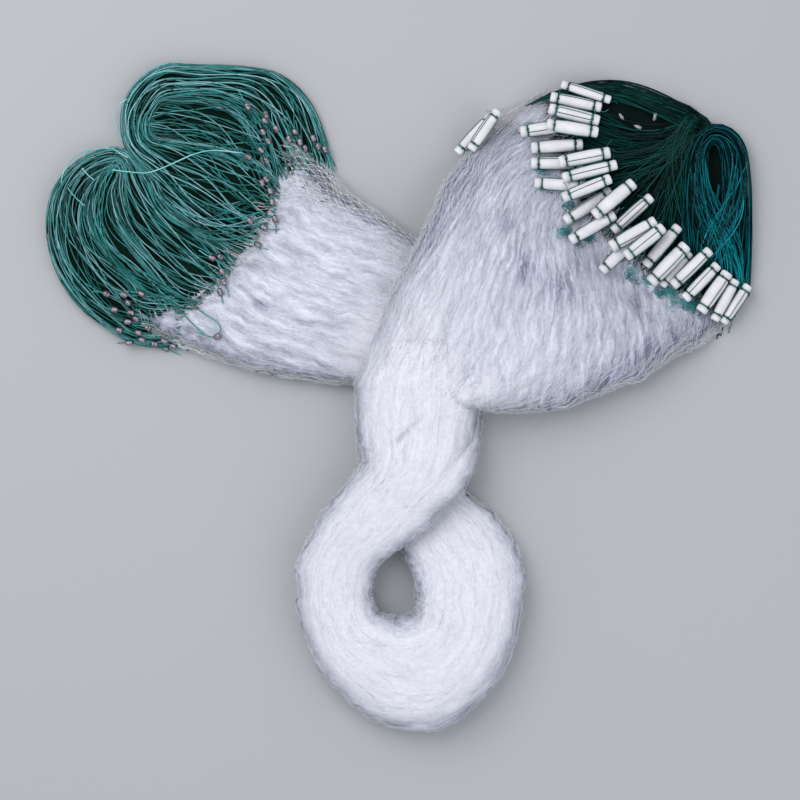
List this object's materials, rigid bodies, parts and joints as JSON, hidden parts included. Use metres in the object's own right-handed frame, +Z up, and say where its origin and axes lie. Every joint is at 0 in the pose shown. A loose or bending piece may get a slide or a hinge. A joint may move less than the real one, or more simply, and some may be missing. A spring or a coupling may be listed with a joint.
{
  "type": "fishing net",
  "caption": "Gill net made up as a hank with a twisted neck and a ring, its weighted lead line and its float line with foam floats gathered at the ends.",
  "frame": {"origin": "middle of the laid-out hank, on the floor that it lies on", "axes": "+Z up from the floor, +X towards the floats, +Y away from the ring"},
  "size_m": [0.7093, 0.6675, 0.0702],
  "materials": {
    "netting": "fine clear monofilament, cloudy white in the mass",
    "lead_line": "glossy green twisted line",
    "float_line": "dark green twisted line",
    "floats": "white closed-cell foam lashed with green twine",
    "sinkers": "dull grey pinched lead"
  },
  "bodies": {
    "root": {"netting": "netting", "lead_line": "lead_line", "float_line": "float_line", "lead_line_loop": "lead_line", "lead_line_end": "lead_line", "float_01": "floats", "float_02": "floats", "float_03": "floats", "float_04": "floats", "float_05": "floats", "float_06": "floats", "float_07": "floats", "float_08": "floats", "float_09": "floats", "float_10": "floats", "float_11": "floats", "float_12": "floats", "float_13": "floats", "float_14": "floats", "float_15": "floats", "float_16": "floats", "float_17": "floats", "float_18": "floats", "float_19": "floats", "float_20": "floats", "float_21": "floats", "float_22": "floats", "float_23": "floats", "float_24": "floats", "float_25": "floats", "float_26": "floats", "float_27": "floats", "float_28": "floats", "sinker_01": "sinkers", "sinker_02": "sinkers", "sinker_03": "sinkers", "sinker_04": "sinkers", "sinker_05": "sinkers", "sinker_06": "sinkers", "sinker_07": "sinkers", "sinker_08": "sinkers", "sinker_09": "sinkers", "sinker_10": "sinkers", "sinker_11": "sinkers", "sinker_12": "sinkers", "sinker_13": "sinkers", "sinker_14": "sinkers", "sinker_15": "sinkers", "sinker_16": "sinkers", "sinker_17": "sinkers", "sinker_18": "sinkers", "sinker_19": "sinkers", "sinker_20": "sinkers", "sinker_21": "sinkers", "sinker_22": "sinkers", "sinker_23": "sinkers", "sinker_24": "sinkers", "sinker_on_loop": "sinkers"}
  },
  "joints": []
}
